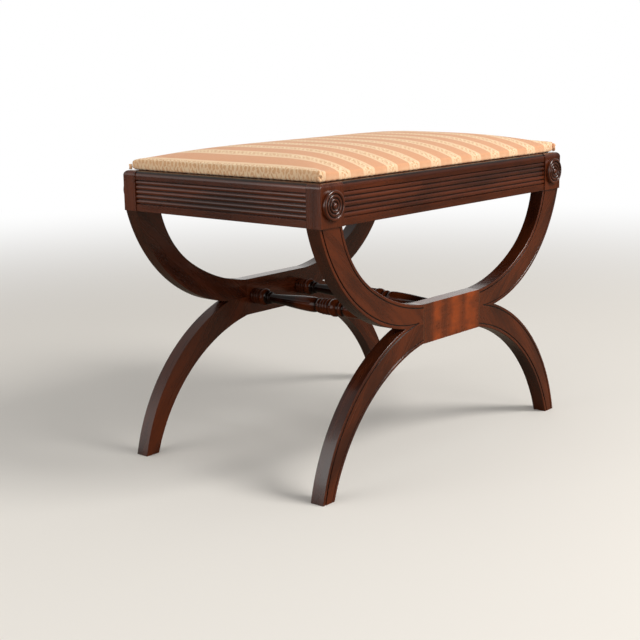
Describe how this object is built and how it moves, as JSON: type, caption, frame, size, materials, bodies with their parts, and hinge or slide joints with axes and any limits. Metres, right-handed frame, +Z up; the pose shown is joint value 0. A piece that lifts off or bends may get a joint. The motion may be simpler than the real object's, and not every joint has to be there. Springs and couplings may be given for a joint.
{
  "type": "x frame stool",
  "caption": "Upholstered stool on two fixed curved X frames joined by turned stretchers, with reeded seat rails, roundels and a striped, crowned pad.",
  "frame": {"origin": "on the floor, under the middle of the stool", "axes": "+X along the two curved X frames, the long way of the seat; +Y from the front X frame to the back one; +Z up"},
  "size_m": [0.6, 0.389, 0.4634],
  "materials": {
    "mahogany": "dark red-brown mahogany, french polished to a satin gloss",
    "figured_veneer": "flame-figured mahogany veneer, polished",
    "softwood": "plain unpolished wood",
    "plywood": "plain plywood",
    "steel": "plain steel screws and tacks",
    "foam": "cream upholstery foam",
    "wadding": "white fibre wadding",
    "striped_cloth": "woven cloth, salmon satin stripes and figured gold stripes",
    "black_cloth": "thin black lining cloth"
  },
  "bodies": {
    "root": {"front_left_arm": "mahogany", "front_right_arm": "mahogany", "back_left_arm": "mahogany", "back_right_arm": "mahogany", "front_left_leg": "mahogany", "front_right_leg": "mahogany", "back_left_leg": "mahogany", "back_right_leg": "mahogany", "front_left_corner_block": "mahogany", "front_right_corner_block": "mahogany", "back_left_corner_block": "mahogany", "back_right_corner_block": "mahogany", "front_left_roundel": "mahogany", "front_right_roundel": "mahogany", "back_left_roundel": "mahogany", "back_right_roundel": "mahogany", "front_left_corner_brace": "softwood", "front_right_corner_brace": "softwood", "back_left_corner_brace": "softwood", "back_right_corner_brace": "softwood", "front_centre_block": "mahogany", "front_centre_veneer": "figured_veneer", "back_centre_block": "mahogany", "back_centre_veneer": "figured_veneer", "front_rail": "mahogany", "back_rail": "mahogany", "left_end_rail": "mahogany", "right_end_rail": "mahogany", "left_stretcher": "mahogany", "right_stretcher": "mahogany", "frame_dowels": "softwood", "brace_screws": "steel", "seat_fixing_screws": "steel", "seat_board": "plywood", "seat_foam": "foam", "seat_wadding": "wadding", "seat_cover": "striped_cloth", "dust_cover": "black_cloth", "dust_cover_tacks": "steel"}
  },
  "joints": []
}
